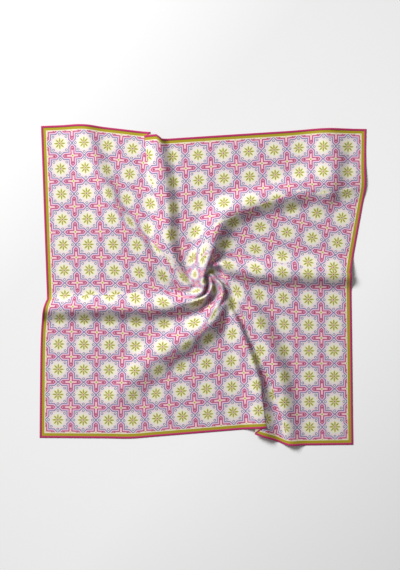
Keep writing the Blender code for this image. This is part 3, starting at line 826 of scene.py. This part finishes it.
# 2 and 3 are the ends of a random number's range, and 1 is the number
stray = node(sewing, "FunctionNodeRandomValue", {2: less, 3: given["Stray"], "Seed": given["Seed"]},
             output=1, data_type="FLOAT")
slant = node(sewing, "ShaderNodeMath", [given["Slant"], stray], operation="ADD")
slant = node(sewing, "ShaderNodeCombineXYZ", {"Z": slant})
turn = node(sewing, "FunctionNodeRotateRotation", {"Rotation": turn, "Rotate By": slant},
            rotation_space="LOCAL")
hump = node(sewing, "GeometryNodeMeshUVSphere", {"Segments": 6, "Rings": 4, "Radius": 0.5})
size = node(sewing, "ShaderNodeCombineXYZ", [given["Length"], given["Width"], given["Width"]])
sewn = node(sewing, "GeometryNodeInstanceOnPoints",
            {"Points": seam, "Instance": hump, "Rotation": turn, "Scale": size})
sewn = node(sewing, "GeometryNodeRealizeInstances", [sewn])
sewn = node(sewing, "GeometryNodeSetMaterial", {"Geometry": sewn, "Material": sewing_thread})
finished = sewing.nodes.new("NodeGroupOutput")
sewing.links.new(sewn, finished.inputs[0])

# the four seams, each point of them with the direction that is up out of the cloth there
seam_mesh = bpy.data.meshes.new("hem seams")
points, edges = [], []
for line, up in stitch_lines:
    edges += [(k, k + 1) for k in range(len(points), len(points) + len(line) - 1)]
    points += [tuple(point) for point in line]
seam_mesh.from_pydata(points, edges, [])
ups = seam_mesh.attributes.new("up", "FLOAT_VECTOR", "POINT")
ups.data.foreach_set("vector", np.concatenate([up for line, up in stitch_lines]).astype(np.float32).ravel())
seams = bpy.data.objects.new("hem seams", seam_mesh)
bpy.context.scene.collection.objects.link(seams)
sew = seams.modifiers.new("sewing", "NODES")
sew.node_group = sewing
for socket, (name, kind, value) in zip(sockets, SEWING_INPUTS):
    if value is not None:
        sew[socket.identifier] = value
sewn = seams.evaluated_get(bpy.context.evaluated_depsgraph_get())
stitches = bpy.data.objects.new("hem_stitches", bpy.data.meshes.new_from_object(sewn))
stitches.data.materials.clear()
stitches.data.materials.append(sewing_thread)
bpy.context.scene.collection.objects.link(stitches)
bpy.data.objects.remove(seams)
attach(stitches, "root")


# --------------------------------------------------------------------------------------------------
# The table, the lamp and the camera
#
# A plain board painted matt white, much wider than the scarf. A big soft lamp stands to its upper
# left, like a window, and the room gives a little light from all round. The camera hangs straight
# above and looks down.
# --------------------------------------------------------------------------------------------------
TABLE_REACH = 12.0              # metres to each side
NEAR_LAMP, FAR_FROM_LAMP = "E3E3E3", "FEFEFE"
PAINT_FROM, PAINT_TO = -0.36, 0.3   # x less y, in metres, where the one shade ends and the other starts
LAMP_PLACE = (-1.65, 1.65, 1.82)
LAMP_SIZE = 1.3
LAMP_POWER = 119
ROOM_LIGHT = 0.19
CAMERA_HEIGHT = 3.167
CAMERA_LENS = 100               # millimetres
VIEW = (-0.0060, 0.0)           # the middle of the view on the table


def aim(thing, place, target):
    """Puts a lamp or camera at a place, looking at a target."""
    offset = np.array(target) - np.array(place)
    thing.location = place
    flat_length = np.hypot(offset[0], offset[1])
    thing.rotation_euler = (np.arctan2(flat_length, -offset[2]), 0.0, np.arctan2(-offset[0], offset[1]))


# Rolled emulsion paint: matt and even, with soft shadows and no reflection to be seen. It is a shade
# greyer near the lamp, which keeps the board an even near-white under a light that falls off.
table_paint = bpy.data.materials.new("matt white table")
table_paint.use_nodes = True
tree = table_paint.node_tree
away = node(tree, "ShaderNodeTexCoord", output="Object")
away = node(tree, "ShaderNodeVectorMath", [away, (1, -1, 0)], output="Value", operation="DOT_PRODUCT")
away = node(tree, "ShaderNodeMapRange", {"Value": away, "From Min": PAINT_FROM, "From Max": PAINT_TO})
paint = node(tree, "ShaderNodeMix", {FACTOR: away, UNDER: linear(NEAR_LAMP), OVER: linear(FAR_FROM_LAMP)},
             output=MIXED, data_type="RGBA")
shader = tree.nodes["Principled BSDF"]
tree.links.new(paint, shader.inputs["Base Color"])
shader.inputs["Roughness"].default_value = 0.7
corners = [(x * TABLE_REACH, y * TABLE_REACH, 0.0) for x, y in [(-1, -1), (1, -1), (1, 1), (-1, 1)]]
table = add_mesh("table", corners, [(0, 1, 2, 3)], table_paint)

lamp_light = bpy.data.lights.new("window", "AREA")
lamp_light.energy = LAMP_POWER
lamp_light.size = LAMP_SIZE
lamp = bpy.data.objects.new("window", lamp_light)
bpy.context.scene.collection.objects.link(lamp)
aim(lamp, LAMP_PLACE, (0, 0, 0))

room = bpy.data.worlds.new("studio")
room.use_nodes = True
room.node_tree.nodes["Background"].inputs["Color"].default_value = (1.0, 1.0, 1.0, 1.0)
room.node_tree.nodes["Background"].inputs["Strength"].default_value = ROOM_LIGHT
bpy.context.scene.world = room

bpy.context.scene.view_settings.view_transform = "Standard"
lens = bpy.data.cameras.new("camera")
lens.lens = CAMERA_LENS
camera = bpy.data.objects.new("camera", lens)
bpy.context.scene.collection.objects.link(camera)
aim(camera, (*VIEW, CAMERA_HEIGHT), (*VIEW, 0))
bpy.context.scene.camera = camera
